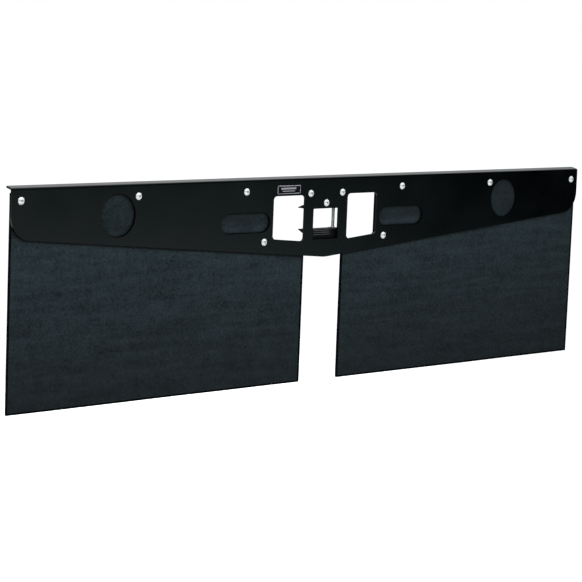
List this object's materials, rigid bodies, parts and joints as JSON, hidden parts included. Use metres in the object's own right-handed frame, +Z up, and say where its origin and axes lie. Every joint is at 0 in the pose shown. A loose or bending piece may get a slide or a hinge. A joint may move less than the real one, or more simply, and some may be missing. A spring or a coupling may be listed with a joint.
{
  "type": "hitch-mounted mud flap",
  "caption": "Full-width folded steel plate with lamp and chain openings, rubber flaps behind it and a screw clamp for a square hitch shank.",
  "frame": {"origin": "middle of the clamp's upper seat, the face that rests on the hitch shank, on the line of the two clamp bolts", "axes": "+Z up, +X along the plate to the right as seen from its outer face, +Y from the outer face towards the towing vehicle"},
  "size_m": [2.032, 0.0481, 0.5453],
  "materials": {
    "powder_coat": "semi-gloss black powder coat",
    "jaw_coat": "satin black powder coat",
    "rubber": "matt black, fine pebbled texture",
    "stainless": "bright stainless",
    "zinc": "zinc plated",
    "black_oxide": "black oxide",
    "label": "black plate with a light border"
  },
  "bodies": {
    "frame": {"frame_plate": "powder_coat", "label_plate": "label", "left_flap_upper": "rubber", "right_flap_upper": "rubber", "upper_jaw": "jaw_coat", "left_clamp_washer": "zinc", "right_clamp_washer": "zinc", "left_end_screw": "stainless", "left_end_washer": "zinc", "left_end_lock_nut": "zinc", "left_mid_screw": "stainless", "left_mid_washer": "zinc", "left_mid_lock_nut": "zinc", "left_inner_screw": "stainless", "left_inner_washer": "zinc", "left_inner_lock_nut": "zinc", "left_low_screw": "stainless", "left_low_washer": "zinc", "left_low_lock_nut": "zinc", "right_end_screw": "stainless", "right_end_washer": "zinc", "right_end_lock_nut": "zinc", "right_mid_screw": "stainless", "right_mid_washer": "zinc", "right_mid_lock_nut": "zinc", "right_inner_screw": "stainless", "right_inner_washer": "zinc", "right_inner_lock_nut": "zinc", "right_low_screw": "stainless", "right_low_washer": "zinc", "right_low_lock_nut": "zinc", "jaw_left_screw": "stainless", "jaw_left_washer": "zinc", "jaw_left_lock_nut": "zinc", "jaw_centre_screw": "stainless", "jaw_centre_washer": "zinc", "jaw_centre_lock_nut": "zinc", "jaw_right_screw": "stainless", "jaw_right_washer": "zinc", "jaw_right_lock_nut": "zinc"},
    "left_flap": {"left_flap_lower": "rubber"},
    "right_flap": {"right_flap_lower": "rubber"},
    "lower_jaw": {"lower_jaw": "jaw_coat", "left_clamp_bolt": "zinc", "left_seat_washer": "black_oxide", "right_clamp_bolt": "zinc", "right_seat_washer": "black_oxide"},
    "left_clamp_nut": {"left_clamp_nut": "zinc"},
    "right_clamp_nut": {"right_clamp_nut": "zinc"}
  },
  "joints": [
    {"name": "left_flap_bend", "type": "hinge", "parent": "frame", "child": "left_flap", "pos_m": [-0.5415, -0.01215, -0.08773], "axis": [-0.9961, 0, 0.0882], "range_deg": [-45, 60], "stiffness_Nm_per_rad": 10},
    {"name": "right_flap_bend", "type": "hinge", "parent": "frame", "child": "right_flap", "pos_m": [0.5415, -0.01215, -0.08773], "axis": [-0.9961, 0, -0.0882], "range_deg": [-45, 60], "stiffness_Nm_per_rad": 10},
    {"name": "lower_jaw_slide", "type": "slide", "parent": "frame", "child": "lower_jaw", "axis": [0, 0, 1], "range_m": [-0.0075, 0.0045]},
    {"name": "left_clamp_nut_turn", "type": "hinge", "parent": "frame", "child": "left_clamp_nut", "pos_m": [-0.0473, 0, 0.01105], "axis": [0, 0, 1], "range_deg": [-1028.5, 1708.8]},
    {"name": "right_clamp_nut_turn", "type": "hinge", "parent": "frame", "child": "right_clamp_nut", "pos_m": [0.0473, 0, 0.01105], "axis": [0, 0, 1], "range_deg": [-1028.5, 1708.8]}
  ],
  "couplings": [
    {"joint": "left_clamp_nut_turn", "follows": "lower_jaw_slide", "rad_per_m": -3957.9},
    {"joint": "right_clamp_nut_turn", "follows": "lower_jaw_slide", "rad_per_m": -3957.9}
  ]
}
